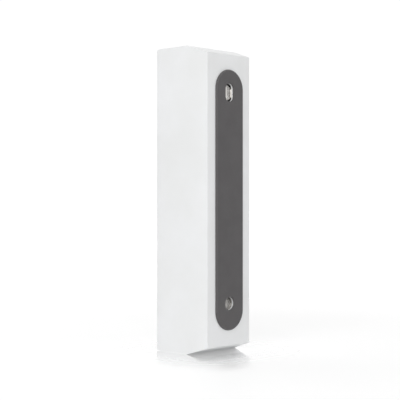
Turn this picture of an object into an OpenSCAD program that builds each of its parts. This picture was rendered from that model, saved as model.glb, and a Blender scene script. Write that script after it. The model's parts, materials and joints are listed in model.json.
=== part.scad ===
// Battery video doorbell, standing on its base: the wall side faces +Y, the visitor's side faces -Y.
// Origin: centre of the base, under the middle of the whole object. Millimetres, +Z up.

/* [Case] */
// Height of the case
case_height = 160; // [158:1:175]
// Width of the case
case_width = 37.5; // [37:0.5:46]
// Depth of the case without its mounting pad
case_depth = 36; // [35.5:0.5:40]
// Depth of the tapered rear part
taper_depth = 12.5; // [8:0.5:14]
// How far the rear face is narrower on each side
taper_side = 2.6; // [1:0.1:3]
// How far the rear face is lower and higher at its ends
taper_end = 4.1; // [2:0.1:4.5]
// Depth of the front cover's rim
rim_depth = 4.5; // [4:0.1:5]
// Angle at which the rim leans in towards the front
rim_angle = 5.7; // [2:0.1:8]
// Radius of the rim's front edge
rim_radius = 2; // [1:0.1:2.5]

/* [Mounting pad] */
// Width of the pad
pad_width = 20.8; // [16:0.1:24]
// Length of the pad
pad_length = 136; // [130:1:140]
// How far the pad stands out of the rear face
pad_proud = 1.15; // [1:0.05:2]
// Distance between the slot and the round hole
hole_spacing = 110; // [104:1:110]
// Radius of the round hole in the rear wall
hole_radius = 3.3; // [2.5:0.1:3.6]
// Width of the levelling slot in the rear wall
slot_width = 6; // [5:0.1:6.4]
// Height of the levelling slot in the rear wall
slot_height = 9.5; // [8:0.1:11]
// How much wider the pad's openings are at its outer face
pad_flare = 1.15; // [0.6:0.05:1.4]

/* [Front] */
// Height of the camera's axis above the base
camera_z = 122; // [120:1:124]
// Radius of the camera's window
window_radius = 7.9; // [7:0.1:9]
// Height of the motion sensor's axis above the base
motion_z = 79; // [77:1:81]
// Height of the bell button's axis above the base
button_z = 44; // [42:1:46]
// Radius of the bell button
button_radius = 9; // [8:0.1:9.4]
// How far the bell button travels
button_travel = 0.5; // [0.3:0.1:0.6]

/* [Base] */
// Position of the charging port across the base
port_x = -7; // [-7.5:0.5:-6]
// Position of the reset button across the base
reset_x = 9; // [8:0.5:10]

/* [Hidden] */
$fn = 64;
eps = 0.01;

// Planes along Y, from the wall side to the visitor's side
half_w = case_width / 2;
pad_y = (case_depth + pad_proud) / 2;
rear_y = pad_y - pad_proud;
taper_y = rear_y - taper_depth;
front_y = rear_y - case_depth;
rim_y = front_y + rim_depth;

// Walls
wall = 2;
base_wall = 2.5;
rear_wall = 1.5;
front_wall = 2.2;
cover_in_y = front_y + front_wall;
rear_in_y = rear_y - rear_wall;
side_slope = taper_side / taper_depth;
end_slope = taper_end / taper_depth;

// Heights of the two openings in the rear wall
hole_z = 26;
slot_z = hole_z + hole_spacing;
pad_z = case_height / 2;
adhesive_thick = 0.15;

// Board and chassis planes
chassis_y = -6;
chassis_thick = 2;
board_back_y = chassis_y - chassis_thick;
board_thick = 1.6;
board_y = board_back_y - board_thick;
board_half_w = 15;
board_low = 7;
board_high = case_height - 8;
boss_x = 12.8;
boss_low_z = 12;
boss_high_z = case_height - 12;
post_radius = 4.9;
rib_thick = 1.2;

// Openings in the rear wall, which is thinner there, and the magnets behind them
opening_wall = 0.8;
opening_y = rear_y - opening_wall;
magnet_radius = 4;
magnet_thick = 2.5;
magnet_y = rear_in_y - 0.1;
cup_y = magnet_y - 0.5;

// Snap beads between the front cover and the rear housing
bead_half_l = 3;
bead_height = 0.35;
bead_y = rim_y + 2.3;
bead_spots = [26, case_height / 2, case_height - 26];

// Screws
small_head = 1.8;
small_shank = 0.75;
small_pilot = 0.8;
screw_hole = 1;

// Front panel
panel_thick = 1.3;
panel_half_w = 13;
panel_low = camera_z - 30;
panel_high = camera_z + 28;
panel_y = front_y + 0.05;
panel_floor_y = panel_y + panel_thick;
window_thick = 0.8;
led_offset = 9;
led_rise = 11;
motion_inner = 6;
motion_outer = 7.05;
microphone_z = 62;

// Button and its switch
ring_outer = button_radius + 2.4;
ring_gap = 0.15;
ring_flange = 1.2;
ring_back_y = cover_in_y + 0.8;
plunger_y = board_y - 4.5;
switch_y = board_y - 3.5;

// Battery
cell_radius = 9.2;
cell_length = 65;
cell_low = 48;
cell_y = chassis_y + 9.6;

// Speaker, stacked from the front wall inwards
speaker_z = 14.5;
speaker_y = cover_in_y + 0.5;
speaker_radius = 9.6;
speaker_inner = 8.3;

// Charging port and flap
port_y = -1.5;
port_board_y = port_y + 1.65;
flap_gap = 0.2;
flap_half_l = 6.6;
flap_half_w = 3.5;
flap_low = 0.15;
flap_high = 1.15;
pocket_high = 1.5;
hinge_x = port_x - flap_half_l - 0.5;
hinge_z = 0.95;
knuckle_radius = 0.75;
pin_radius = 0.35;
pin_half_l = 4.7;

// Turns what is drawn in X and Z, seen from the visitor's side, into a plate from y_low to y_high
module plate(y_low, y_high) {
    translate([0, y_high, 0]) rotate([90, 0, 0]) linear_extrude(y_high - y_low) children();
}

// Round bar along Y
module rod(radius, y_low, y_high, x, z) {
    translate([x, y_low, z]) rotate([-90, 0, 0]) cylinder(r = radius, h = y_high - y_low);
}

// Round bar along Y whose radius changes
module cone(r_low, r_high, y_low, y_high, x, z) {
    translate([x, y_low, z]) rotate([-90, 0, 0]) cylinder(r1 = r_low, r2 = r_high, h = y_high - y_low);
}

// Box given by its two corners
module span(low, high) {
    translate(low) cube(high - low);
}

// Upright outline with round ends
module stadium(half_width, low, high) {
    translate([-half_width, low + half_width]) square([2 * half_width, high - low - 2 * half_width]);
    translate([0, low + half_width]) circle(half_width);
    translate([0, high - half_width]) circle(half_width);
}

// Solid with one outline seen from above and another seen from the side
module two_outlines(from_above, from_side) {
    intersection() {
        translate([0, 0, -1]) linear_extrude(case_height + 2) polygon(from_above);
        translate([-half_w - 1, 0, 0]) rotate([90, 0, 90]) linear_extrude(case_width + 2) polygon(from_side);
    }
}

// Outlines of the rear housing, drawn in by a wall at the sides, the ends and the rear face
function above_rear(side, y_front, y_back) = let (back = half_w - side - side_slope * (y_back - taper_y))
    [[-half_w + side, y_front], [half_w - side, y_front], [half_w - side, taper_y], [back, y_back],
    [-back, y_back], [-half_w + side, taper_y]];
function side_rear(low, high, y_front, y_back) = let (step = end_slope * (y_back - taper_y))
    [[y_front, low], [taper_y, low], [y_back, low + step], [y_back, high - step], [taper_y, high],
    [y_front, high]];

// Outline of the front cover across its rim: it leans in towards the front and has a round front edge
function rim_corner(half) = let (steps = 8,
    middle = half + (-rim_radius + (front_y + rim_radius - rim_y) * sin(rim_angle)) / cos(rim_angle))
    [for (i = [0 : steps]) let (turn = -rim_angle - i * (90 - rim_angle) / steps)
        [middle + rim_radius * cos(turn), front_y + rim_radius + rim_radius * sin(turn)]];
function rim_outline(half) = let (corner = rim_corner(half))
    concat([[half, rim_y]], corner, [for (i = [len(corner) - 1 : -1 : 0]) [-corner[i][0], corner[i][1]]],
        [[-half, rim_y]]);
function rim_from_side() = [for (p = rim_outline(case_height / 2)) [p[1], case_height / 2 + p[0]]];

// Rectangular frame between an outer and an inner inset from the case's sides and ends
module frame_ring(outer, inner, y_low, y_high) {
    plate(y_low, y_high) difference() {
        translate([-half_w + outer, base_wall + outer - wall])
            square([case_width - 2 * outer, case_height - base_wall - 2 * outer + wall]);
        translate([-half_w + inner, base_wall + inner - wall])
            square([case_width - 2 * inner, case_height - base_wall - 2 * inner + wall]);
    }
}

module rear_housing() {
    color("#ededee") difference() {
        two_outlines(above_rear(0, rim_y, rear_y), side_rear(0, case_height, rim_y, rear_y));
        two_outlines(above_rear(wall, rim_y - 1, rear_in_y),
            side_rear(base_wall, case_height - wall, rim_y - 1, rear_in_y));
        rod(hole_radius, rear_in_y - 1, rear_y + 1, 0, hole_z);
        plate(rear_in_y - 1, rear_y + 1)
            stadium(slot_width / 2, slot_z - slot_height / 2, slot_z + slot_height / 2);
        // Recesses that thin the rear wall in front of the magnets
        rod(post_radius + 0.15, rear_in_y - 1, opening_y, 0, hole_z);
        plate(rear_in_y - 1, opening_y)
            stadium(post_radius + 0.15, slot_z - slot_height / 2 - 0.7, slot_z + slot_height / 2 + 0.7);
        for (side = [-1, 1], z = bead_spots) snap_bead(side, z, 0.1);
        // Pocket, mouth and hinge of the charging port's flap
        span([hinge_x - 1.3, port_y - flap_half_w - flap_gap, -1],
            [port_x + flap_half_l + flap_gap, port_y + flap_half_w + flap_gap, pocket_high]);
        span([hinge_x - 1.1, port_y - flap_half_w - flap_gap, 1],
            [hinge_x + 1.1, port_y + flap_half_w + flap_gap, 1.95]);
        span([port_x - 4.7, port_y - 1.8, 1], [port_x + 4.7, port_y + 1.65, base_wall + 1]);
        translate([hinge_x, port_y + pin_half_l, hinge_z]) rotate([90, 0, 0])
            cylinder(r = pin_radius + 0.01, h = 2 * pin_half_l);
        // Hole of the reset button
        translate([reset_x, port_y, -1]) cylinder(r = 1.5, h = base_wall + 2);
    }
}

// Sound slot through the front wall, lying level with round ends
module speaker_slot(from_x, to_x, z) {
    half_slot = 0.55;
    for (x = [from_x, to_x]) rod(half_slot, front_y - 1, cover_in_y + 1, x, z);
    span([min(from_x, to_x), front_y - 1, z - half_slot], [max(from_x, to_x), cover_in_y + 1, z + half_slot]);
}

// Small bead on the front cover's tongue; with some room round it, the pocket that it snaps into
module snap_bead(side, z, room) {
    foot = half_w - wall - 0.6;
    reach = half_w - wall - 0.1 + bead_height + room;
    span([min(side * foot, side * reach), bead_y - room, z - bead_half_l - room],
        [max(side * foot, side * reach), bead_y + 0.5 + room, z + bead_half_l + room]);
}

module front_cover() {
    color("#ededee") difference() {
        union() {
            difference() {
                two_outlines(rim_outline(half_w), rim_from_side());
                span([-half_w + wall + 1.6, cover_in_y, wall + 1.6],
                    [half_w - wall - 1.6, rim_y + 1, case_height - wall - 1.6]);
            }
            frame_ring(wall + 0.1, wall + 1.6, rim_y - eps, rim_y + 3);
            for (side = [-1, 1], z = bead_spots) snap_bead(side, z, 0);
            for (x = [-boss_x, boss_x], z = [boss_low_z, boss_high_z])
                rod(2.4, cover_in_y - eps, board_y, x, z);
        }
        // Groove of the seal around the tongue
        frame_ring(wall - 0.5, wall + 0.9, rim_y + 0.8, rim_y + 2);
        // Recess of the dark front panel and what looks out through it
        plate(front_y - 1, panel_floor_y) stadium(panel_half_w + 0.05, panel_low - 0.05, panel_high + 0.05);
        rod(window_radius - 0.8, front_y, cover_in_y + 1, 0, camera_z);
        for (x = [-led_offset, led_offset], z = [camera_z - led_rise, camera_z + led_rise])
            rod(2, front_y, cover_in_y + 1, x, z);
        rod(1.5, front_y, cover_in_y + 1, 0, panel_high - 7);
        // Motion lens, button, microphone and speaker
        rod(motion_inner, front_y - 1, cover_in_y + 1, 0, motion_z);
        rod(motion_outer, front_y - 1, front_y + 1.6, 0, motion_z);
        rod(ring_outer + 0.05, front_y - 1, cover_in_y + 1, 0, button_z);
        rod(0.6, front_y - 1, cover_in_y + 1, 0, microphone_z);
        for (row = [-2 : 2], side = [-1, 1]) speaker_slot(side * 1.6, side * (6.4 - 0.7 * abs(row)),
            speaker_z + 2.6 * row);
        for (x = [-boss_x, boss_x], z = [boss_low_z, boss_high_z])
            rod(small_pilot, cover_in_y + 0.5, board_y + 1, x, z);
    }
}

module cover_seal() {
    color("#3a3a3c") frame_ring(wall, wall + 0.9, rim_y + 0.85, rim_y + 1.95);
}

module front_panel() {
    color("#141416") difference() {
        plate(panel_y, panel_floor_y) stadium(panel_half_w, panel_low, panel_high);
        rod(window_radius + 0.05, panel_y - 1, panel_floor_y + 1, 0, camera_z);
    }
}

// Opening through the pad: a straight wall, a steep cone and a shallow chamfer at the outer face
module pad_opening(half_width, reach, z) {
    steep_y = rear_y + pad_proud * 0.2;
    shallow_y = pad_y - pad_proud * 0.35;
    steep_out = half_width + pad_flare * 0.2;
    outline = [[half_width, steep_y], [steep_out, shallow_y], [half_width + pad_flare, pad_y + eps]];
    for (end = [-reach, reach]) {
        rod(half_width, rear_y - 1, pad_y, 0, z + end);
        cone(half_width, steep_out, steep_y, shallow_y, 0, z + end);
        cone(steep_out, half_width + pad_flare, shallow_y, pad_y + eps, 0, z + end);
    }
    if (reach > 0) {
        plate(rear_y - 1, pad_y) translate([-half_width, z - reach]) square([2 * half_width, 2 * reach]);
        translate([0, 0, z - reach]) linear_extrude(2 * reach)
            polygon(concat(outline, [for (i = [2 : -1 : 0]) [-outline[i][0], outline[i][1]]]));
    }
}

module mounting_pad() {
    half = pad_width / 2;
    straight = pad_length / 2 - half;
    soft_edge = 0.7;
    color("#5b595a") difference() {
        union() {
            plate(rear_y + adhesive_thick, pad_y - soft_edge)
                stadium(half, pad_z - pad_length / 2, pad_z + pad_length / 2);
            for (end = [-straight, straight])
                cone(half, half - soft_edge, pad_y - soft_edge, pad_y, 0, pad_z + end);
            translate([0, 0, pad_z - straight]) linear_extrude(2 * straight)
                polygon([[-half, pad_y - soft_edge], [half, pad_y - soft_edge],
                    [half - soft_edge, pad_y], [-half + soft_edge, pad_y]]);
        }
        pad_opening(hole_radius, 0, hole_z);
        pad_opening(slot_width / 2, (slot_height - slot_width) / 2, slot_z);
    }
}

module pad_adhesive() {
    edge = 0.3;
    color("#8d8c8a") difference() {
        plate(rear_y, rear_y + adhesive_thick) stadium(pad_width / 2 - edge, pad_z - pad_length / 2 + edge,
            pad_z + pad_length / 2 - edge);
        rod(hole_radius, rear_y - 1, rear_y + 1, 0, hole_z);
        plate(rear_y - 1, rear_y + 1) stadium(slot_width / 2, slot_z - slot_height / 2,
            slot_z + slot_height / 2);
    }
}

// Cross-shaped driver recess, cut from y_low to y_high
module cross_recess(size, y_low, y_high, x, z) {
    for (turn = [0, 90]) plate(y_low, y_high) translate([x, z]) rotate(turn)
        square([size, size * 0.28], center = true);
}

module holding_magnets() {
    color("#b9b9bb") for (z = [hole_z, slot_z]) rod(magnet_radius, magnet_y - magnet_thick, magnet_y, 0, z);
}

module inner_chassis() {
    color("#242427") difference() {
        union() {
            span([-board_half_w, board_back_y, board_low - 1], [board_half_w, chassis_y, board_high + 1]);
            for (z = [hole_z, slot_z]) {
                rod(post_radius, chassis_y - eps, cup_y, 0, z);
                for (x = [-6.5, 6.5])
                    span([x - 3.5, chassis_y - eps, z - rib_thick / 2],
                        [x + 3.5, chassis_y + 7, z + rib_thick / 2]);
            }
            for (x = [-board_half_w, board_half_w - rib_thick])
                span([x, chassis_y - eps, 20], [x + rib_thick, chassis_y + 2.5, board_high - 12]);
        }
        for (z = [hole_z, slot_z]) rod(magnet_radius + 0.02, magnet_y - magnet_thick, cup_y + 1, 0, z);
        for (x = [-boss_x, boss_x], z = [boss_low_z, boss_high_z])
            rod(screw_hole, board_back_y - 1, chassis_y + 1, x, z);
        for (z = [31, case_height - 41]) span([-9, board_back_y - 1, z], [9, chassis_y + 1, z + 10]);
    }
}

module chassis_screws() {
    color("#8f9094") for (x = [-boss_x, boss_x], z = [boss_low_z, boss_high_z]) difference() {
        union() {
            rod(small_head, chassis_y, chassis_y + 1.3, x, z);
            rod(small_shank, board_y - 4, chassis_y, x, z);
        }
        cross_recess(2, chassis_y + 0.6, chassis_y + 2, x, z);
    }
}

module main_board() {
    color("#1f5a3c") difference() {
        span([-board_half_w, board_y, board_low], [board_half_w, board_back_y, board_high]);
        for (x = [-boss_x, boss_x], z = [boss_low_z, boss_high_z])
            rod(screw_hole, board_y - 1, board_back_y + 1, x, z);
        for (x = [-6, 6]) rod(0.8, board_y - 1, board_back_y + 1, x, camera_z - 12);
    }
}

module shield_can() {
    color("#b4b6ba") difference() {
        span([-11, board_y - 2.2, 91], [7, board_y, 106]);
        span([-10.8, board_y - 2, 91.2], [6.8, board_y + 1, 105.8]);
    }
}

module board_chips() {
    color("#1b1b1d") {
        span([-9, board_y - 1, 65], [-2, board_y, 72]);
        span([3, board_y - 0.9, 66], [8, board_y, 71]);
        span([9, board_y - 1.2, 92], [13, board_y, 98]);
        span([9.5, board_y - 1.4, 101], [12.5, board_y, 104]);
        span([-13.5, board_y - 0.9, 57], [-9.5, board_y, 61]);
    }
}

module ring_leds() {
    color("#e8e6d2") for (turn = [45 : 90 : 315]) translate([0, board_y, button_z]) rotate([0, turn, 0])
        span([9.2, -0.8, -1], [11.2, 0, 1]);
}

module infrared_leds() {
    color("#2a2230") for (x = [-led_offset, led_offset], z = [camera_z - led_rise, camera_z + led_rise]) {
        rod(1.6, board_y - 4, board_y, x, z);
        translate([x, board_y - 4, z]) sphere(r = 1.6);
    }
}

module light_sensor() {
    color("#3a3733") span([-1.2, board_y - 0.8, panel_high - 8.2], [1.2, board_y, panel_high - 5.8]);
}

module camera_board() {
    color("#20603f") span([-9.5, board_y - 1, camera_z - 8.5], [9.5, board_y, camera_z + 8.5]);
}

module camera_holder() {
    color("#1d1d1f") difference() {
        union() {
            span([-6.5, board_y - 3, camera_z - 6.5], [6.5, board_y - 1, camera_z + 6.5]);
            rod(5.6, board_y - 4.4, board_y - 3, 0, camera_z);
        }
        rod(4.25, board_y - 5, board_y - 1.4, 0, camera_z);
    }
}

module camera_barrel() {
    color("#101012") difference() {
        union() {
            rod(4.2, board_y - 4.5, board_y - 1.5, 0, camera_z);
            rod(5.4, board_y - 6.4, board_y - 4.5, 0, camera_z);
        }
        rod(3, board_y - 6, board_y - 1, 0, camera_z);
        cone(4.6, 3.9, board_y - 6.5, board_y - 5.2, 0, camera_z);
    }
}

module camera_lens() {
    color("#2b3550") intersection() {
        translate([0, board_y + 0.6, camera_z]) sphere(r = 6.9, $fn = 96);
        cone(4.5, 3.85, board_y - 6.35, board_y - 5.25, 0, camera_z);
    }
}

module camera_window() {
    color("#0c0d10") rod(window_radius, panel_y, panel_y + window_thick, 0, camera_z);
}

module window_gasket() {
    color("#1a1a1a") difference() {
        rod(window_radius - 0.1, panel_y + window_thick, panel_floor_y, 0, camera_z);
        rod(window_radius - 0.9, panel_y, panel_floor_y + 1, 0, camera_z);
    }
}

module camera_ribbon() {
    color("#b5772c") translate([0, 0, camera_z - 13.5]) {
        span([-4, board_y - 1.15, 0], [4, board_y - 1, 5.2]);
        span([-5, board_y - 1, -0.5], [5, board_y, 1.5]);
    }
}

module motion_sensor() {
    color("#a9a9ab") difference() {
        union() {
            rod(4.6, board_y - 3.8, board_y - 0.4, 0, motion_z);
            rod(5.1, board_y - 0.4, board_y, 0, motion_z);
        }
        span([-1.5, board_y - 4, motion_z - 2], [1.5, board_y - 3.5, motion_z + 2]);
    }
}

module motion_lens() {
    dome = 14;
    color("#f2f1ec") {
        difference() {
            intersection() {
                translate([0, front_y + 0.15 + dome, motion_z]) sphere(r = dome, $fn = 128);
                rod(motion_inner - 0.1, front_y, front_y + 3.5, 0, motion_z);
            }
            translate([0, front_y + 0.15 + dome, motion_z]) sphere(r = dome - 0.8, $fn = 128);
        }
        difference() {
            rod(motion_outer - 0.05, front_y + 0.9, front_y + 1.6, 0, motion_z);
            rod(motion_inner - 0.1 - eps, front_y, front_y + 2, 0, motion_z);
        }
    }
}

module button_cap() {
    face_y = front_y + 0.1;
    color("#e9e9ea") difference() {
        union() {
            cone(button_radius - 0.35, button_radius, face_y, face_y + 0.35, 0, button_z);
            rod(button_radius, face_y + 0.35, ring_back_y, 0, button_z);
            rod(button_radius + 1, ring_back_y + 0.05, plunger_y - 0.15, 0, button_z);
            rod(button_radius - 1, ring_back_y - eps, plunger_y - 0.05, 0, button_z);
        }
        // Shallow dish for the fingertip
        translate([0, face_y - 40 + 0.5, button_z]) sphere(r = 40, $fn = 180);
        difference() {
            rod(button_radius - 1.6, face_y + 2, plunger_y + 1, 0, button_z);
            rod(2.2, face_y, plunger_y + 1, 0, button_z);
        }
    }
}

module button_ring() {
    color("#f4f6f8") difference() {
        union() {
            rod(ring_outer, front_y + 0.1, cover_in_y, 0, button_z);
            rod(ring_outer + ring_flange, cover_in_y, ring_back_y, 0, button_z);
        }
        rod(button_radius + ring_gap, front_y, ring_back_y + 1, 0, button_z);
    }
}

module button_switch() {
    color("#2c2c2e") difference() {
        span([-3, switch_y, button_z - 3], [3, board_y, button_z + 3]);
        rod(1.75, switch_y - 1, board_y - 1, 0, button_z);
    }
}

module switch_plunger() {
    color("#8a2f28") rod(1.65, plunger_y, board_y - 1 - 2 * button_travel, 0, button_z);
}

module microphone() {
    color("#c0b070") span([-1.9, board_y - 1, microphone_z - 1.6], [1.9, board_y, microphone_z + 1.6]);
}

module microphone_seal() {
    color("#2e2e30") difference() {
        rod(1.8, cover_in_y, board_y - 1, 0, microphone_z);
        rod(0.7, cover_in_y - 1, board_y, 0, microphone_z);
    }
}

module speaker_gasket() {
    color("#333335") difference() {
        rod(speaker_radius, cover_in_y, speaker_y, 0, speaker_z);
        rod(speaker_inner, cover_in_y - 1, speaker_y + 1, 0, speaker_z);
    }
}

module speaker_frame() {
    color("#202022") difference() {
        rod(speaker_radius, speaker_y, speaker_y + 3, 0, speaker_z);
        rod(speaker_inner, speaker_y - 1, speaker_y + 2, 0, speaker_z);
        rod(5.05, speaker_y, speaker_y + 4, 0, speaker_z);
    }
}

// Thin turned film: a dished middle, a raised rib and a rolled edge
module speaker_cone() {
    profile = [[0, -0.3], [3, 0.1], [4.5, 0.5], [6.4, 0], [7.3, -0.5], [8.25, 0]];
    color("#4a4a4e") translate([0, speaker_y + 1.2, speaker_z]) rotate([-90, 0, 0]) rotate_extrude()
        polygon(concat(profile, [for (i = [len(profile) - 1 : -1 : 0]) profile[i] + [0, 0.25]]));
}

module speaker_magnet() {
    color("#9a9ba0") rod(5, speaker_y + 2.05, board_y - 0.1, 0, speaker_z);
}

module antenna() {
    color("#b08a3c") span([-9.5, chassis_y, boss_high_z - 5], [9.5, chassis_y + 0.8, board_high]);
}

module battery_holder() {
    holder_low = cell_low - 3;
    holder_high = cell_low + cell_length + 3;
    color("#29292c") difference() {
        span([-10.6, chassis_y, holder_low], [10.6, cell_y + 1, holder_high]);
        translate([0, cell_y, cell_low - 1]) cylinder(r = cell_radius + 0.1, h = cell_length + 2);
        for (z = [cell_low + 18, cell_low + cell_length - 26])
            span([-6, chassis_y - 1, z], [6, cell_y, z + 8]);
    }
}

module battery_cell() {
    color("#2f6f8f") {
        translate([0, cell_y, cell_low]) cylinder(r = cell_radius, h = cell_length - 1.2);
        translate([0, cell_y, cell_low + cell_length - 1.2 - eps]) cylinder(r = 3, h = 1.2);
    }
}

module battery_contacts() {
    color("#c9c9cc") {
        translate([0, cell_y, cell_low - 0.9]) cylinder(r = 4.5, h = 0.8);
        translate([0, cell_y, cell_low + cell_length + 0.1]) cylinder(r = 4.5, h = 0.8);
    }
}

module port_board() {
    color("#1f5a3c") span([-14.5, port_board_y, base_wall + 1.7], [14.5, port_board_y + 1.2, 18]);
}

// Oval shell with a back wall, and the contact tongue inside it
module charging_port() {
    depth = 7.3;
    shell_low = base_wall - 0.4;
    shell_high = shell_low + depth;
    half_straight = 2.9;
    outer = 1.6;
    inner = 1.3;
    color("#b8babd") {
        difference() {
            for (x = [-half_straight, half_straight])
                translate([port_x + x, port_y, shell_low]) cylinder(r = outer, h = depth);
            for (x = [-half_straight, half_straight])
                translate([port_x + x, port_y, shell_low - 0.6]) cylinder(r = inner, h = depth);
            span([port_x - half_straight, port_y - inner, shell_low - 0.6],
                [port_x + half_straight, port_y + inner, shell_high - 0.6]);
        }
        for (y = [-outer, inner]) span([port_x - half_straight, port_y + y, shell_low],
            [port_x + half_straight, port_y + y + outer - inner, shell_high]);
        span([port_x - half_straight, port_y - outer, shell_high - 1],
            [port_x + half_straight, port_y + outer, shell_high]);
        span([port_x - 3.2, port_y - 0.35, shell_low + 2], [port_x + 3.2, port_y + 0.35, shell_high - 0.6]);
    }
}

module port_flap() {
    color("#47474a") difference() {
        union() {
            span([port_x - flap_half_l + 0.2, port_y - flap_half_w, flap_low],
                [port_x + flap_half_l, port_y + flap_half_w, flap_high]);
            span([port_x - 3.2, port_y - 0.9, flap_high - eps], [port_x + 3.2, port_y + 0.9, 3.4]);
            translate([hinge_x, port_y + flap_half_w, hinge_z]) rotate([90, 0, 0])
                cylinder(r = knuckle_radius, h = 2 * flap_half_w);
            span([hinge_x, port_y - flap_half_w, 0.35], [hinge_x + 1.2, port_y + flap_half_w, flap_high]);
        }
        translate([hinge_x, port_y + flap_half_w + 1, hinge_z]) rotate([90, 0, 0])
            cylinder(r = pin_radius + 0.05, h = 2 * flap_half_w + 2);
        // Finger nick at the free end
        span([port_x + flap_half_l - 0.8, port_y - 1.5, -1], [port_x + flap_half_l + 1, port_y + 1.5, 0.6]);
    }
}

module flap_pin() {
    color("#a5a6aa") translate([hinge_x, port_y + pin_half_l, hinge_z]) rotate([90, 0, 0])
        cylinder(r = pin_radius, h = 2 * pin_half_l);
}

module reset_button() {
    color("#6e6e72") {
        translate([reset_x, port_y, 0.4]) cylinder(r = 1.35, h = 3.4);
        translate([reset_x, port_y, base_wall + 0.05]) cylinder(r = 2.1, h = 0.6);
    }
}

module reset_switch() {
    color("#2c2c2e") difference() {
        span([reset_x - 2.2, port_y - 1.6, 4.4], [reset_x + 2.2, port_board_y, 7.4]);
        translate([reset_x, port_y, 4]) cylinder(r = 0.85, h = 2.4);
    }
}

module reset_plunger() {
    color("#d8d4c8") translate([reset_x, port_y, 3.85]) cylinder(r = 0.78, h = 1.9);
}

rear_housing();
front_cover();
cover_seal();
front_panel();
mounting_pad();
pad_adhesive();
holding_magnets();
inner_chassis();
chassis_screws();
main_board();
shield_can();
board_chips();
ring_leds();
infrared_leds();
light_sensor();
camera_board();
camera_holder();
camera_barrel();
camera_lens();
camera_window();
window_gasket();
camera_ribbon();
motion_sensor();
motion_lens();
button_cap();
button_ring();
button_switch();
switch_plunger();
microphone();
microphone_seal();
speaker_gasket();
speaker_frame();
speaker_cone();
speaker_magnet();
antenna();
battery_holder();
battery_cell();
battery_contacts();
port_board();
charging_port();
port_flap();
flap_pin();
reset_button();
reset_switch();
reset_plunger();
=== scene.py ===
import json
import math

import bmesh
import bpy
from mathutils import Matrix, Vector


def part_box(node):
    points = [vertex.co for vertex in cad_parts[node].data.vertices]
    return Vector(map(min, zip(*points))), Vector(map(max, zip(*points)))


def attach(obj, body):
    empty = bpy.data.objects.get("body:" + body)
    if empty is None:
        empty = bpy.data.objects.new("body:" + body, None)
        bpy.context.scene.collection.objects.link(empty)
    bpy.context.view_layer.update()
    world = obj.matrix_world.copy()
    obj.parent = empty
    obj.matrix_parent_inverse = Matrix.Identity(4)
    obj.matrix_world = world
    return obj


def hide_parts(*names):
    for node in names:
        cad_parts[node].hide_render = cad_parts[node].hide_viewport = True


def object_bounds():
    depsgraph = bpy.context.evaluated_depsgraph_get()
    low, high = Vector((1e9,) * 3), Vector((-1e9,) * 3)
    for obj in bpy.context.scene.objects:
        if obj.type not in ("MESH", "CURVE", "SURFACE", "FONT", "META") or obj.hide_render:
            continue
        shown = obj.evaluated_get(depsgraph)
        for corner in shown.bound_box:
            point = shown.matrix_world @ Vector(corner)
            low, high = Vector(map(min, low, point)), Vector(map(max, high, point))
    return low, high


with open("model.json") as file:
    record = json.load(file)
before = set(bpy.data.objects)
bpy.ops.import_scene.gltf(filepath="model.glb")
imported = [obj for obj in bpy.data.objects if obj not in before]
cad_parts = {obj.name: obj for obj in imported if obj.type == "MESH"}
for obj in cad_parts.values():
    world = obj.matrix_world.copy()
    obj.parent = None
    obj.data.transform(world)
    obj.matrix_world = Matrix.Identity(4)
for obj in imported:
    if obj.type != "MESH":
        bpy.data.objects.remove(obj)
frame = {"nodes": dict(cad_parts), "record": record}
cadBounds = [list(corner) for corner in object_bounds()]
scene = bpy.context.scene
mm = 0.001
mergeReach = 0.002 * mm  # corners of a CAD node's triangles this close are one corner
flatEnough = math.radians(0.5)  # and triangles this nearly level are one face
slotOf = {part["node"]: part["material_slot"] for part in frame["record"]["subparts"]}


# tools

def linear(code):
    parts = [int(code[i:i + 2], 16) / 255 for i in (1, 3, 5)]
    return tuple(c / 12.92 if c <= 0.04045 else ((c + 0.055) / 1.055) ** 2.4 for c in parts) + (1.0,)


def add(tree, kind, links=None, **settings):
    # one node with its settings, and each socket either linked or set
    made = tree.nodes.new("ShaderNode" + kind)
    for name, value in settings.items():
        setattr(made, name, value)
    for socket, value in (links or {}).items():
        if isinstance(value, bpy.types.NodeSocket):
            tree.links.new(value, made.inputs[socket])
        else:
            made.inputs[socket].default_value = value
    return made


def finishMesh(work, name, smooth=True, sharp=32):
    mesh = bpy.data.meshes.new(name)
    work.to_mesh(mesh)
    work.free()
    for face in mesh.polygons:
        face.use_smooth = smooth
    if smooth:
        mesh.set_sharp_from_angle(angle=math.radians(sharp))
    made = bpy.data.objects.new(name, mesh)
    scene.collection.objects.link(made)
    return made


def softened(node, name, width, segments=3, steep=25, shortest=0.0):
    # a copy of a CAD node, its triangles merged into whole faces and its outer edges rounded
    work = bmesh.new()
    work.from_mesh(frame["nodes"][node].data)
    bmesh.ops.remove_doubles(work, verts=work.verts, dist=mergeReach)
    bmesh.ops.dissolve_limit(work, angle_limit=flatEnough, verts=work.verts, edges=work.edges)
    chosen = [e for e in work.edges
              if len(e.link_faces) == 2 and e.is_convex and e.calc_length() > shortest
              and math.degrees(e.calc_face_angle(0)) > steep]
    bmesh.ops.bevel(work, geom=chosen, offset=width, offset_type="OFFSET", affect="EDGES", segments=segments,
                    profile=0.5, material=-1, clamp_overlap=True)
    for layer in [l for l in work.loops.layers.float_vector.values() if l.name == "custom_normal"]:
        work.loops.layers.float_vector.remove(layer)
    made = finishMesh(work, name)
    weigh = made.modifiers.new("weigh", "WEIGHTED_NORMAL")
    weigh.keep_sharp = True
    return made


def settle(piece, body, slotName, *nodes):
    piece.data.materials.clear()
    piece.data.materials.append(materials[slotName])
    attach(piece, body)
    if nodes:
        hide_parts(*nodes)
    print(piece.name, len(piece.data.polygons), "faces")


def bodyOf(node):
    return next(name for name, nodes in frame["record"]["behaviour"]["bodies"].items() if node in nodes)


# materials

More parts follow.
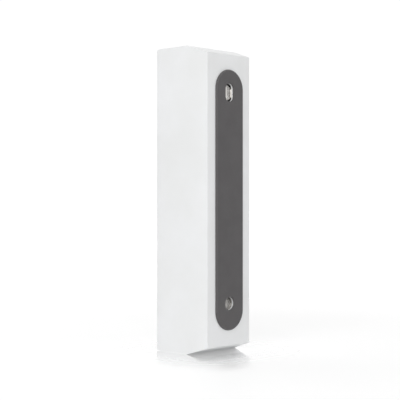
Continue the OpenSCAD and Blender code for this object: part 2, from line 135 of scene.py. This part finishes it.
def surface(name, look):
    # tone drifts slowly in patches, while a fine grain breaks up the gloss and stands up as relief
    material = bpy.data.materials.new(name)
    material.use_nodes = True
    material.diffuse_color = linear(look["colour"])
    tree = material.node_tree
    skin = tree.nodes["Principled BSDF"]
    place = add(tree, "TexCoord").outputs["Object"]
    drift = add(tree, "TexNoise", {"Vector": place, "Scale": 1 / look["patch"], "Detail": 3.0})
    spread = add(tree, "MapRange", {"Value": drift.outputs["Fac"], "From Min": 0.35, "From Max": 0.65})
    tone = add(tree, "Mix", {0: spread.outputs[0], 6: linear(look["second"]), 7: linear(look["colour"])},
               data_type="RGBA")
    drawn = place
    if "stretch" in look:
        drawn = add(tree, "Mapping", {"Vector": place, "Scale": look["stretch"]}).outputs[0]
    grain = add(tree, "TexNoise", {"Vector": drawn, "Scale": 1 / look["grain"], "Detail": 3.0})
    smooth, rough = look["rough"]
    gloss = add(tree, "MapRange", {"Value": grain.outputs["Fac"], "From Min": 0.3, "From Max": 0.7,
                                   "To Min": smooth, "To Max": rough})
    bump = add(tree, "Bump", {"Height": grain.outputs["Fac"], "Distance": look["depth"], "Strength": 1.0})
    tree.links.new(tone.outputs[2], skin.inputs["Base Color"])
    tree.links.new(gloss.outputs[0], skin.inputs["Roughness"])
    tree.links.new(bump.outputs[0], skin.inputs["Normal"])
    for socket, value in look.get("skin", {}).items():
        skin.inputs[socket].default_value = value
    return material, {"tree": tree, "skin": skin, "place": place, "tone": tone, "bump": bump}


def mouldedAbs():
    # injection moulded ABS, spark-eroded texture: the eye gets a satin white with a broad soft highlight
    # real grain is typically about 0.1 mm, drawn coarser so that it shows
    material, parts = surface("moulded white ABS", {
        "colour": "#f0f1f2", "second": "#eceded", "patch": 24 * mm, "grain": 0.45 * mm, "rough": (0.36, 0.46),
        "depth": 0.004 * mm, "skin": {"IOR": 1.53}})
    # broad sink marks, a few hundredths of a millimetre deep, keep the long faces from looking ruled
    sink = add(parts["tree"], "TexNoise", {"Vector": parts["place"], "Scale": 1 / (16 * mm), "Detail": 1.0})
    wave = add(parts["tree"], "Bump", {"Height": sink.outputs["Fac"], "Distance": 0.03 * mm, "Strength": 1.0,
                                       "Normal": parts["bump"].outputs[0]})
    parts["tree"].links.new(wave.outputs[0], parts["skin"].inputs["Normal"])
    return material


def padSilicone():
    # moulded silicone: matt and faintly dusty, with sparse lighter specks in its skin
    # grain and specks are drawn as coarse as they need to show, the specks about 0.3 mm wide, 1.1 mm apart
    material, parts = surface("moulded grey silicone", {
        "colour": "#575556", "second": "#535152", "patch": 9 * mm, "grain": 0.5 * mm, "rough": (0.45, 0.56),
        "depth": 0.012 * mm, "skin": {"IOR": 1.41}})
    tree = parts["tree"]
    specks = add(tree, "TexVoronoi", {"Vector": parts["place"], "Scale": 1 / (1.1 * mm)})
    small = add(tree, "MapRange", {"Value": specks.outputs["Distance"], "From Min": 0.1, "From Max": 0.16,
                                   "To Min": 0.35, "To Max": 0.0})
    dusty = add(tree, "Mix", {0: small.outputs[0], 6: parts["tone"].outputs[2], 7: linear("#6a6869")},
                data_type="RGBA")
    tree.links.new(dusty.outputs[2], parts["skin"].inputs["Base Color"])
    return material


def nickelPlate():
    # barrel plated nickel over a sintered magnet: bright and slightly warm, with soft pits
    # painted shade: the colour darkens towards the lower disc, which sits in shade in its recess, and is gone
    # below the upper one
    material, parts = surface("barrel plated nickel", {
        "colour": "#dad8d5", "second": "#cfccc9", "patch": 2.5 * mm, "grain": 0.6 * mm, "rough": (0.2, 0.3),
        "depth": 0.003 * mm, "skin": {"Metallic": 1.0}})
    tree = parts["tree"]
    # painted shade: a darker tone blended in by height, strongest at the lower disc, in patches
    height = add(tree, "SeparateXYZ", {"Vector": parts["place"]})
    fullShadeBelow, noShadeAbove = 28 * mm, 60 * mm
    low = add(tree, "MapRange", {"Value": height.outputs["Z"], "From Min": fullShadeBelow, "From Max": noShadeAbove,
                                 "To Min": 1.0, "To Max": 0.0})
    cloud = add(tree, "TexNoise", {"Vector": parts["place"], "Scale": 1 / (5 * mm), "Detail": 1.0})
    paintedShade = add(tree, "Math", {0: low.outputs[0], 1: cloud.outputs["Fac"]}, operation="MULTIPLY")
    shadedNickel = add(tree, "Mix", {0: paintedShade.outputs[0], 6: parts["tone"].outputs[2], 7: linear("#4a4847")},
               data_type="RGBA")
    tree.links.new(shadedNickel.outputs[2], parts["skin"].inputs["Base Color"])
    return material


def solderMask():
    # green lacquer over etched copper: glossy, with paler tracks about 0.6 mm wide just showing through
    material, parts = surface("solder mask on glass fibre", {
        "colour": "#1c5a3b", "second": "#184f34", "patch": 6 * mm, "grain": 0.6 * mm, "rough": (0.22, 0.34),
        "depth": 0.004 * mm, "skin": {"Coat Weight": 0.3}})
    tree = parts["tree"]
    turned = add(tree, "Mapping", {"Vector": parts["place"], "Rotation": (math.radians(90), 0, 0)})
    tracks = add(tree, "TexBrick", {"Vector": turned.outputs[0], "Scale": 1 / (6 * mm), "Mortar Size": 0.05,
                                    "Mortar Smooth": 0.1, "Brick Width": 1.1, "Row Height": 0.3})
    etched = add(tree, "Mix", {0: tracks.outputs["Fac"], 6: parts["tone"].outputs[2], 7: linear("#2f7a50")},
                 data_type="RGBA")
    tree.links.new(etched.outputs[2], parts["skin"].inputs["Base Color"])
    return material


def coatedLens():
    # polished glass with an anti-reflection coating: near black, with a green to violet cast towards its rim
    material, parts = surface("coated optical glass", {
        "colour": "#10141f", "second": "#151022", "patch": 3 * mm, "grain": 1.2 * mm, "rough": (0.02, 0.04),
        "depth": 0.0002 * mm, "skin": {"IOR": 1.6, "Coat Weight": 1.0, "Coat Roughness": 0.02}})
    tree = parts["tree"]
    edge = add(tree, "LayerWeight", {"Blend": 0.35})
    cast = add(tree, "Mix", {0: edge.outputs["Facing"], 6: linear("#142233"), 7: linear("#3a1f4a")},
               data_type="RGBA")
    tree.links.new(cast.outputs[2], parts["skin"].inputs["Base Color"])
    return material


def foamTape():
    # closed-cell acrylic foam: matt, with cells about 0.3 mm across along its cut edge
    material, parts = surface("acrylic foam tape", {
        "colour": "#8a8987", "second": "#7c7b79", "patch": 4 * mm, "grain": 0.3 * mm, "rough": (0.55, 0.7),
        "depth": 0.006 * mm})
    tree = parts["tree"]
    cells = add(tree, "TexVoronoi", {"Vector": parts["place"], "Scale": 1 / (0.3 * mm)})
    pits = add(tree, "Bump", {"Height": cells.outputs["Distance"], "Distance": 0.03 * mm, "Strength": 0.8,
                              "Normal": parts["bump"].outputs[0]})
    tree.links.new(pits.outputs[0], parts["skin"].inputs["Normal"])
    return material


def shrinkWrap():
    # PVC sleeve shrunk on a cell: glossy blue with fine lengthwise pulls
    return surface("shrunk PVC sleeve", {
        "colour": "#2a6f93", "second": "#256484", "patch": 7 * mm, "grain": 0.8 * mm, "stretch": (1, 1, 0.08),
        "rough": (0.18, 0.3), "depth": 0.01 * mm, "skin": {"IOR": 1.53, "Coat Weight": 0.3}})[0]


# finishes that need no more than tone, grain and gloss, each with what it gives the eye
# grain sizes are estimates, and where the real one is finer it is drawn as coarse as it needs to show
finishes = {
    # soft black rubber that soaks up light
    "seal_rubber": ("moulded EPDM rubber", {
        "colour": "#2b2b2d", "second": "#242426", "patch": 5 * mm, "grain": 0.4 * mm, "rough": (0.62, 0.8),
        "depth": 0.01 * mm, "skin": {"IOR": 1.48}}),
    # deep black with mirror gloss and a trace of orange peel
    "panel_black": ("polished black acrylic", {
        "colour": "#0b0b0d", "second": "#09090a", "patch": 14 * mm, "grain": 2.5 * mm, "rough": (0.05, 0.1),
        "depth": 0.002 * mm, "skin": {"IOR": 1.49, "Coat Weight": 0.4, "Coat Roughness": 0.03}}),
    # bright zinc with fine turning lines
    "screw_steel": ("zinc plated steel", {
        "colour": "#c9c9cb", "second": "#a9a9ac", "patch": 1.5 * mm, "grain": 0.25 * mm, "stretch": (1, 6, 1),
        "rough": (0.26, 0.42), "depth": 0.004 * mm, "skin": {"Metallic": 1.0}}),
    # dark nylon, its short glass fibres showing as a dull streaky satin
    "chassis_plastic": ("glass filled nylon", {
        "colour": "#222225", "second": "#1a1a1c", "patch": 8 * mm, "grain": 0.35 * mm, "stretch": (1, 1, 0.3),
        "rough": (0.42, 0.58), "depth": 0.012 * mm, "skin": {"IOR": 1.53}}),
    # pale soft steel sheet with rolling lines
    "tinned_steel": ("tinned steel sheet", {
        "colour": "#c0c1c4", "second": "#b0b1b5", "patch": 3 * mm, "grain": 0.2 * mm, "stretch": (5, 5, 0.5),
        "rough": (0.22, 0.36), "depth": 0.003 * mm, "skin": {"Metallic": 1.0}}),
    # matt black, lightly sandy
    "chip_resin": ("moulded epoxy", {
        "colour": "#1d1d1f", "second": "#171719", "patch": 2 * mm, "grain": 0.2 * mm, "rough": (0.48, 0.62),
        "depth": 0.006 * mm, "skin": {"IOR": 1.55}}),
    # creamy yellow under a clear skin
    "led_resin": ("phosphor under clear resin", {
        "colour": "#efe9b8", "second": "#e6da94", "patch": 0.8 * mm, "grain": 0.3 * mm, "rough": (0.15, 0.25),
        "depth": 0.002 * mm, "skin": {"Coat Weight": 0.5}}),
    # almost black, wet-looking, faintly violet
    "infrared_resin": ("dark infrared resin", {
        "colour": "#1d1722", "second": "#15101a", "patch": 1.5 * mm, "grain": 0.4 * mm, "rough": (0.08, 0.16),
        "depth": 0.001 * mm, "skin": {"IOR": 1.55, "Coat Weight": 0.5}}),
    # black metal with a silky sheen from the turned lines under its dye
    "barrel_metal": ("black anodised aluminium", {
        "colour": "#1b1b1d", "second": "#141416", "patch": 2 * mm, "grain": 0.15 * mm, "stretch": (1, 7, 1),
        "rough": (0.32, 0.45), "depth": 0.004 * mm, "skin": {"Metallic": 1.0}}),
    # smoke grey and clear, with the lens showing behind it
    "window_glass": ("tinted cover glass", {
        "colour": "#b4b9bf", "second": "#aeb3ba", "patch": 6 * mm, "grain": 3 * mm, "rough": (0.0, 0.01),
        "depth": 0.0002 * mm, "skin": {"IOR": 1.52, "Transmission Weight": 1.0}}),
    # amber film with a waxy gloss
    "ribbon_film": ("polyimide film", {
        "colour": "#b36a22", "second": "#9c5618", "patch": 2 * mm, "grain": 0.5 * mm, "rough": (0.22, 0.34),
        "depth": 0.004 * mm, "skin": {"IOR": 1.7, "Coat Weight": 0.4}}),
    # milky and waxy, a little light passes through
    "lens_plastic": ("milky polyethylene", {
        "colour": "#efeee8", "second": "#e7e6de", "patch": 3 * mm, "grain": 0.4 * mm, "rough": (0.36, 0.46),
        "depth": 0.003 * mm, "skin": {"IOR": 1.51, "Subsurface Weight": 0.3, "Subsurface Scale": 0.6 * mm}}),
    # cloudy white that glows softly at its edges
    "ring_plastic": ("frosted polycarbonate", {
        "colour": "#eef2f5", "second": "#e2e8ec", "patch": 4 * mm, "grain": 0.35 * mm, "rough": (0.28, 0.38),
        "depth": 0.003 * mm, "skin": {"IOR": 1.58, "Subsurface Weight": 0.4, "Subsurface Scale": 0.8 * mm}}),
    # bone coloured and slippery-looking
    "plunger_plastic": ("moulded acetal", {
        "colour": "#cfc8ba", "second": "#c2b9a8", "patch": 1.5 * mm, "grain": 0.3 * mm, "rough": (0.34, 0.44),
        "depth": 0.004 * mm, "skin": {"IOR": 1.48}}),
    # soft yellow metal
    "brass_can": ("gold plated can", {
        "colour": "#cdb061", "second": "#b89748", "patch": 1 * mm, "grain": 0.2 * mm, "rough": (0.2, 0.3),
        "depth": 0.002 * mm, "skin": {"Metallic": 1.0}}),
    # thin grey film, glossy on its ribs
    "cone_film": ("pressed polyester film", {
        "colour": "#4b4b50", "second": "#3f3f44", "patch": 2 * mm, "grain": 0.3 * mm, "rough": (0.3, 0.4),
        "depth": 0.004 * mm, "skin": {"IOR": 1.6}}),
    # copper seen through amber film
    "antenna_film": ("copper under film", {
        "colour": "#b5803a", "second": "#9a692b", "patch": 3 * mm, "grain": 0.4 * mm, "rough": (0.28, 0.4),
        "depth": 0.004 * mm, "skin": {"Coat Weight": 0.4}}),
    # soft grey skin with no highlight to speak of
    "flap_rubber": ("soft grey elastomer", {
        "colour": "#48484b", "second": "#404043", "patch": 4 * mm, "grain": 0.4 * mm, "rough": (0.58, 0.72),
        "depth": 0.01 * mm, "skin": {"IOR": 1.45}}),
}

materials = {slot: surface(*look)[0] for slot, look in finishes.items()}
materials.update({
    "case_plastic": mouldedAbs(),
    "pad_rubber": padSilicone(),
    "magnet_nickel": nickelPlate(),
    "circuit_board": solderMask(),
    "lens_glass": coatedLens(),
    "adhesive": foamTape(),
    "cell_wrap": shrinkWrap(),
})
print("materials made:", len(materials))

for node, held in frame["nodes"].items():
    held.data.materials.clear()
    held.data.materials.append(materials[slotOf[node]])

# parts whose edges are rounded

softEdges = {
    "rear_housing": {"name": "caseShell", "width": 0.4 * mm, "segments": 4, "shortest": 3 * mm},
    "front_cover": {"name": "coverShell", "width": 0.3 * mm, "segments": 4, "shortest": 12 * mm},
    "mounting_pad": {"name": "wallPad", "width": 0.15 * mm, "segments": 3, "steep": 20},
    "holding_magnets": {"name": "holdingMagnets", "width": 0.25 * mm, "segments": 3},
    "front_panel": {"name": "darkPanel", "width": 0.15 * mm, "segments": 3},
    "button_cap": {"name": "bellButton", "width": 0.1 * mm, "segments": 3},
    "button_ring": {"name": "lightRing", "width": 0.1 * mm, "segments": 3},
    "port_flap": {"name": "portFlap", "width": 0.12 * mm, "segments": 3},
    "reset_button": {"name": "resetButton", "width": 0.12 * mm, "segments": 3},
    "camera_window": {"name": "cameraWindow", "width": 0.12 * mm, "segments": 3},
    "battery_cell": {"name": "batteryCell", "width": 0.4 * mm, "segments": 3},
    "shield_can": {"name": "shieldCan", "width": 0.15 * mm, "segments": 2},
    "camera_holder": {"name": "cameraHolder", "width": 0.2 * mm, "segments": 2},
    "motion_sensor": {"name": "motionSensor", "width": 0.2 * mm, "segments": 2},
}

for node, edge in softEdges.items():
    values = {key: value for key, value in edge.items() if key != "name"}
    settle(softened(node, edge["name"], **values), bodyOf(node), slotOf[node], node)

# motion lens: a shallow dome of small moulded facets, with a thin rim round it

motionLens = {
    "dome": 14 * mm,  # radius of the dome's outside
    "reach": 5.75 * mm,  # how far the facets go out from the axis
    "wall": 0.7 * mm,
    "crown": 1.12 * mm,  # thickness left under the dome's top
    "lip": 0.12 * mm,  # plain step between the facets and the neck
    "flange": 0.7 * mm,  # thickness of the flange behind the cover
    "rings": 10,
    "sectors": 60,
    "groove": 0.09 * mm,  # half the width of a groove between facets
    "rise": 0.05 * mm,  # how far a facet stands above its grooves
    "sharp": 20,  # degrees between faces at which an edge shows
}


def makeMotionLens(values):
    low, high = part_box("motion_lens")
    axisZ = (low[2] + high[2]) / 2
    top = low[1]
    rim = (high[0] - low[0]) / 2
    work = bmesh.new()
    # the dome's profile from its top outwards, then the wall of the neck and the flange behind the cover
    steps = values["rings"]
    widest = math.asin(values["reach"] / values["dome"])
    turns = [widest * i / steps for i in range(1, steps + 1)]
    outline = [(values["dome"] * math.sin(t), top + values["dome"] * (1 - math.cos(t))) for t in turns]
    neck = values["reach"] + values["lip"]
    back = high[1]
    seat = back - values["flange"]
    outline += [(neck, outline[-1][1] + values["lip"]), (neck, seat), (rim, seat), (rim, back),
                (neck - values["wall"], back)]
    start = [work.verts.new((radius, along, 0)) for radius, along in outline]
    edges = [work.edges.new(pair) for pair in zip(start, start[1:])]
    bmesh.ops.spin(work, geom=start + edges, cent=(0, 0, 0), axis=(0, 1, 0), angle=2 * math.pi,
                   steps=values["sectors"], use_merge=True)
    bmesh.ops.remove_doubles(work, verts=work.verts, dist=0.01 * mm)
    # close the top, then the back, where the light comes out
    loops = {True: [], False: []}
    for edge in [e for e in work.edges if e.is_boundary]:
        loops[edge.verts[0].co.y < (top + back) / 2].append(edge)
    bmesh.ops.contextual_create(work, geom=loops[True])
    rounds = bmesh.ops.extrude_edge_only(work, edges=loops[False])["geom"]
    inner = [v for v in rounds if isinstance(v, bmesh.types.BMVert)]
    bmesh.ops.translate(work, verts=inner, vec=(0, top + values["crown"] - back, 0))
    bmesh.ops.contextual_create(work, geom=[e for e in work.edges if e.is_boundary])
    bmesh.ops.recalc_face_normals(work, faces=work.faces)
    # facets: each face on the outside of the dome is raised inside its own outline
    dome = [f for f in work.faces if f.calc_center_median().y < outline[steps - 1][1] and f.normal.y < -0.5]
    bmesh.ops.inset_individual(work, faces=dome, thickness=values["groove"], depth=values["rise"])
    bmesh.ops.translate(work, verts=work.verts, vec=(0, 0, axisZ))
    return finishMesh(work, "motionLens", sharp=values["sharp"])


settle(makeMotionLens(motionLens), "case", "lens_plastic", "motion_lens")

# dust mesh behind the speaker slots

dustMesh = {
    "radius": 8.1 * mm,
    "pitch": 0.62 * mm,  # real mesh is typically about 0.2 mm, drawn coarser so that it shows
    "wire": 0.2 * mm,
}


def makeDustMesh(values):
    low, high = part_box("speaker_gasket")
    work = bmesh.new()
    count = int(2 * values["radius"] / values["pitch"])
    bmesh.ops.create_grid(work, x_segments=count, y_segments=count, size=values["radius"],
                          matrix=Matrix.Rotation(math.radians(90), 4, "X"))
    outside = [v for v in work.verts if math.hypot(v.co.x, v.co.z) > values["radius"]]
    bmesh.ops.delete(work, geom=outside, context="VERTS")
    bmesh.ops.wireframe(work, faces=work.faces, thickness=values["wire"], use_replace=True, use_boundary=True,
                        use_even_offset=True)
    bmesh.ops.translate(work, verts=work.verts,
                        vec=((low[0] + high[0]) / 2, low[1] + values["wire"], (low[2] + high[2]) / 2))
    return finishMesh(work, "dustMesh", smooth=False)


settle(makeDustMesh(dustMesh), "case", "barrel_metal")

# collars that seat the magnets against the thin wall round both openings

magnetCollar = {
    "inner": 3.4 * mm,
    "outer": 4.0 * mm,
    "space": 0.8 * mm,  # between a disc's face and the thin wall
    "gap": 0.03 * mm,  # left at both ends of a collar
    "reach": 1.75 * mm,  # how far the upper collar's straight sides go from its middle
    "steps": 48,
}


def makeCollar(values, name, middle, reach):
    work = bmesh.new()
    bmesh.ops.create_circle(work, cap_ends=True, segments=values["steps"], radius=values["outer"],
                            matrix=Matrix.Rotation(math.radians(90), 4, "X"))
    bmesh.ops.inset_region(work, faces=work.faces[:], thickness=values["outer"] - values["inner"],
                           use_boundary=True, use_even_offset=True)
    bmesh.ops.delete(work, geom=[f for f in work.faces if len(f.verts) > 4], context="FACES_ONLY")
    for half in (1, -1):
        moved = [v for v in work.verts if v.co.z * half > values["gap"]]
        bmesh.ops.translate(work, verts=moved, vec=(0, 0, half * reach))
    walls = bmesh.ops.extrude_face_region(work, geom=work.faces[:])["geom"]
    far = [v for v in walls if isinstance(v, bmesh.types.BMVert)]
    bmesh.ops.translate(work, verts=far, vec=(0, values["space"] - 2 * values["gap"], 0))
    bmesh.ops.recalc_face_normals(work, faces=work.faces)
    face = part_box("holding_magnets")[1][1]
    bmesh.ops.translate(work, verts=work.verts, vec=(0, face + values["gap"], middle))
    return finishMesh(work, name)


# the discs stand one above the other, so half the width of their box is their radius
low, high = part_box("holding_magnets")
discRadius = (high[0] - low[0]) / 2
settle(makeCollar(magnetCollar, "lowerCollar", low[2] + discRadius, 0), "case", "magnet_nickel")
settle(makeCollar(magnetCollar, "slotCollar", high[2] - discRadius, magnetCollar["reach"]), "case",
       "magnet_nickel")

# view, light and floor

camera = {
    "azimuth": 133.79,  # degrees round the object, 0 looks along +Y
    "distance": 580.2 * mm,
    "sideways": -2.46 * mm,
    "lens": 97.96,
    "sensor": 36,  # in mm, like the lens
    "nearest": 20 * mm,
    "furthest": 30,
}


def setCamera(values):
    low, high = (Vector(corner) for corner in cadBounds)
    turn = math.radians(values["azimuth"])
    forward = Vector((-math.sin(turn), math.cos(turn), 0))
    rightward = Vector((forward.y, -forward.x, 0))
    data = bpy.data.cameras.new("studioCamera")
    data.sensor_width = values["sensor"]
    data.lens = values["lens"]
    data.clip_start = values["nearest"]
    data.clip_end = values["furthest"]
    made = bpy.data.objects.new("studioCamera", data)
    made.location = (low + high) / 2 - forward * values["distance"] + rightward * values["sideways"]
    made.rotation_euler = forward.to_track_quat("-Z", "Y").to_euler()
    scene.collection.objects.link(made)
    scene.camera = made


# azimuth is where a light stands round the object, counted from +X towards +Y
softboxes = {
    "keyBox": {"azimuth": 28, "height": 0.5, "distance": 1.3, "size": 1.1, "power": 6.3},
    "frontBox": {"azimuth": 262, "height": 0.8, "distance": 1.4, "size": 1.1, "power": 2.6},
    "topBox": {"azimuth": 74, "height": 1.5, "distance": 0.25, "size": 1.2, "power": 6.4},
}
lightAim = Vector((0, 0, 80 * mm))
# how white the room looks, and how much light the room and the floor give
room = {"seen": 1.04, "given": 0.447, "sheet": 0.215}
# the floor's sheet: how far its changes go from the object's foot, and its gloss and glow there
sheet = {
    "half": 6,  # half its width
    "mirror": 50 * mm,  # it stops mirroring here
    "dull": 55 * mm,  # its sheen has spread out here
    "return": 130 * mm,  # from here on it comes back
    "far": 330 * mm,  # and here it is back
    "under": 3 * mm,  # how far out a painted glow on the floor reaches under the slanted base edge, standing in for light that gets in there
    "metal": 0.8,  # how metallic it is at the foot
    "polished": 0.02,  # roughness at the foot
    "spread": 0.6,  # roughness where its sheen has spread out
    "farGloss": 0.12,  # roughness far out
    "paintedUnderGlow": 0.115,  # emission of that painted glow, which lights the slanted base edge
    "shadedFootShare": 0.1,  # share of the sheet's own light that is left at the foot: painted shade round the foot, which fades out by the mirror distance
}


def setLights():
    for name, box in softboxes.items():
        data = bpy.data.lights.new(name, "AREA")
        data.shape = "SQUARE"
        data.size = box["size"]
        data.energy = box["power"]
        made = bpy.data.objects.new(name, data)
        turn = math.radians(box["azimuth"])
        place = Vector((math.cos(turn) * box["distance"], math.sin(turn) * box["distance"], box["height"]))
        made.location = place
        made.rotation_euler = (lightAim - place).to_track_quat("-Z", "Y").to_euler()
        scene.collection.objects.link(made)
    world = bpy.data.worlds.new("whiteRoom")
    scene.world = world
    world.use_nodes = True
    tree = world.node_tree
    tree.nodes.clear()
    path = add(tree, "LightPath")
    looks = add(tree, "Math", {0: path.outputs["Is Camera Ray"], 1: path.outputs["Is Glossy Ray"]},
                operation="MAXIMUM")
    strength = add(tree, "MapRange", {"Value": looks.outputs[0], "To Min": room["given"],
                                      "To Max": room["seen"]})
    glow = add(tree, "Background", {"Color": (1, 1, 1, 1), "Strength": strength.outputs[0]})
    add(tree, "OutputWorld", {"Surface": glow.outputs[0]})
    scene.view_settings.view_transform = "Standard"


def setFloor():
    work = bmesh.new()
    bmesh.ops.create_grid(work, x_segments=1, y_segments=1, size=sheet["half"])
    floor = finishMesh(work, "studioFloor")
    # laminated white sheet: bright, mirroring what stands on it close by and dulling further out; its glow is
    # dimmed round the foot as painted shade, with a painted glow under the slanted base edge
    material, parts = surface("laminated white sheet", {
        "colour": "#f4f4f4", "second": "#f3f3f3", "patch": 200 * mm, "grain": 30 * mm, "rough": (0.1, 0.12),
        "depth": 0.0, "skin": {"IOR": 1.5}})
    parts["skin"].inputs["Emission Color"].default_value = (1, 1, 1, 1)
    # distance from the object's foot
    tree = parts["tree"]
    positive = add(tree, "VectorMath", {0: parts["place"]}, operation="ABSOLUTE")
    foot = cadBounds[1][:2] + [0]
    beyond = add(tree, "VectorMath", {0: positive.outputs[0], 1: foot}, operation="SUBTRACT")
    outside = add(tree, "VectorMath", {0: beyond.outputs[0], 1: (0, 0, 0)}, operation="MAXIMUM")
    away = add(tree, "VectorMath", {0: outside.outputs[0]}, operation="LENGTH").outputs["Value"]
    dull = add(tree, "MapRange", {"Value": away, "From Max": sheet["dull"],
                                  "To Min": sheet["polished"], "To Max": sheet["spread"]})
    clear = add(tree, "MapRange", {"Value": away, "From Min": sheet["return"], "From Max": sheet["far"],
                                   "To Min": sheet["spread"], "To Max": sheet["farGloss"]})
    sheen = add(tree, "Math", {0: dull.outputs[0], 1: clear.outputs[0]}, operation="MINIMUM")
    mirror = add(tree, "MapRange", {"Value": away, "From Max": sheet["mirror"],
                                    "To Min": sheet["metal"], "To Max": 0.0})
    # painted shade: the floor's own glow is dimmed towards the object's foot
    glowDimmedAtFoot = add(tree, "MapRange", {"Value": away, "From Max": sheet["mirror"],
                                 "To Min": sheet["shadedFootShare"] * room["sheet"], "To Max": room["sheet"]})
    # painted light: a glow on the floor under the slanted base edge
    under = add(tree, "MapRange", {"Value": away, "From Max": sheet["under"],
                                   "To Min": sheet["paintedUnderGlow"], "To Max": 0.0})
    glow = add(tree, "Math", {0: glowDimmedAtFoot.outputs[0], 1: under.outputs[0]}, operation="MAXIMUM")
    tree.links.new(mirror.outputs[0], parts["skin"].inputs["Metallic"])
    tree.links.new(sheen.outputs[0], parts["skin"].inputs["Roughness"])
    tree.links.new(glow.outputs[0], parts["skin"].inputs["Emission Strength"])
    floor.data.materials.append(material)


setCamera(camera)
setLights()
setFloor()
print("view, light and floor set")
